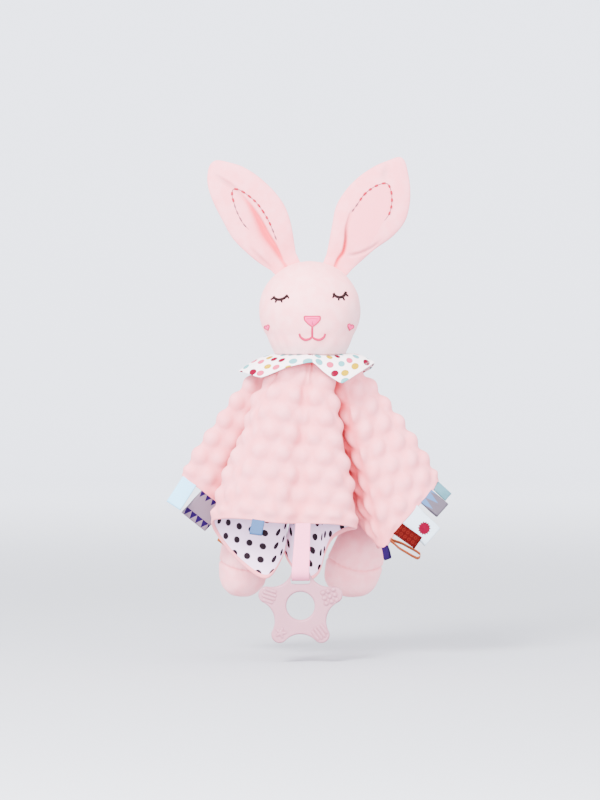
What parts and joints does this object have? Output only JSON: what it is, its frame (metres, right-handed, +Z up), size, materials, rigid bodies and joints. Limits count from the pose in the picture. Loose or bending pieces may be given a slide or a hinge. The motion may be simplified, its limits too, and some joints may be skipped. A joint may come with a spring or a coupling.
{
  "type": "stuffed bunny comforter",
  "caption": "Plush bunny head with floppy stuffed ears on a draped square security blanket, with a collar, ribbon loops, hanging feet and a teething star on a strap.",
  "frame": {"origin": "middle of the neck, between the head and the blanket, where a hand holds the toy up", "axes": "+Z up along the hanging toy, through the head; +X to the right as seen by someone facing it; the face looks along -Y"},
  "size_m": [0.2463, 0.1381, 0.412],
  "materials": {
    "smooth_plush": "short, smooth pile",
    "bumpy_plush": "short pile with raised dots",
    "wadding": "loose fibre filling",
    "dark_thread": "embroidery thread",
    "rose_thread": "embroidery thread",
    "crimson_thread": "running stitch",
    "spotted_cotton": "woven cotton printed with coloured spots",
    "dotted_cotton": "woven cotton printed with dark dots",
    "pink_ribbon": "satin ribbon",
    "silicone": "soft, slightly translucent, satin",
    "pale_blue_ribbon": "satin ribbon",
    "lavender_ribbon": "woven ribbon with dark triangles",
    "orange_ribbon": "satin ribbon",
    "blue_ribbon": "satin ribbon",
    "navy_ribbon": "woven ribbon",
    "red_ribbon": "patterned ribbon",
    "white_ribbon": "ribbon with a printed scalloped disc",
    "grey_ribbon": "woven ribbon with triangles",
    "teal_ribbon": "satin ribbon"
  },
  "bodies": {
    "blanket": {"blanket_plush": "bumpy_plush", "blanket_lining": "dotted_cotton", "collar": "spotted_cotton", "pale_blue_loop": "pale_blue_ribbon", "lavender_loop": "lavender_ribbon", "left_orange_loop": "orange_ribbon", "blue_loop": "blue_ribbon", "navy_loop": "navy_ribbon", "right_orange_loop": "orange_ribbon", "red_loop": "red_ribbon", "white_loop": "white_ribbon", "grey_loop": "grey_ribbon", "teal_loop": "teal_ribbon"},
    "neck": {"neck_plug": "smooth_plush"},
    "head": {"head_cover": "smooth_plush", "head_filling": "wadding", "left_eye": "dark_thread", "right_eye": "dark_thread", "nose": "rose_thread", "mouth": "rose_thread", "left_cheek_heart": "rose_thread", "right_cheek_heart": "rose_thread"},
    "left_ear": {"left_ear_front": "smooth_plush", "left_ear_back": "smooth_plush", "left_ear_filling": "wadding", "left_ear_stitches": "crimson_thread"},
    "right_ear": {"right_ear_front": "smooth_plush", "right_ear_back": "smooth_plush", "right_ear_filling": "wadding", "right_ear_stitches": "crimson_thread"},
    "left_leg": {"left_leg_cover": "smooth_plush", "left_foot_cover": "smooth_plush", "left_leg_filling": "wadding"},
    "right_leg": {"right_leg_cover": "smooth_plush", "right_foot_cover": "smooth_plush", "right_leg_filling": "wadding"},
    "strap": {"teether_strap": "pink_ribbon"},
    "teether": {"teether_star": "silicone"}
  },
  "joints": [
    {"name": "head_turn", "type": "hinge", "parent": "blanket", "child": "neck", "pos_m": [0, 0, 0], "axis": [0, 0, 1], "range_deg": [-40, 40], "stiffness_Nm_per_rad": 0.05},
    {"name": "head_nod", "type": "hinge", "parent": "neck", "child": "head", "pos_m": [0, 0, 0.0356], "axis": [1, 0, 0], "range_deg": [-15, 20], "stiffness_Nm_per_rad": 0.3},
    {"name": "left_ear_fold", "type": "hinge", "parent": "head", "child": "left_ear", "pos_m": [-0.02359, 0, 0.07646], "axis": [0.8192, 0, 0.5736], "range_deg": [-55, 70]},
    {"name": "right_ear_fold", "type": "hinge", "parent": "head", "child": "right_ear", "pos_m": [0.0235, 0, 0.07631], "axis": [0.8572, 0, -0.515], "range_deg": [-55, 70]},
    {"name": "left_leg_swing", "type": "hinge", "parent": "blanket", "child": "left_leg", "pos_m": [-0.0592, 0.07, -0.1492], "axis": [1, 0, 0], "range_deg": [-25, 40]},
    {"name": "right_leg_swing", "type": "hinge", "parent": "blanket", "child": "right_leg", "pos_m": [0.0348, 0.07, -0.1496], "axis": [1, 0, 0], "range_deg": [-25, 40]},
    {"name": "strap_swing", "type": "hinge", "parent": "blanket", "child": "strap", "pos_m": [-0.009, -0.0305, -0.14425], "axis": [1, 0, 0], "range_deg": [-70, 12]},
    {"name": "star_swing", "type": "hinge", "parent": "strap", "child": "teether", "pos_m": [-0.009, -0.0305, -0.18325], "axis": [1, 0, 0], "range_deg": [-50, 50]}
  ]
}
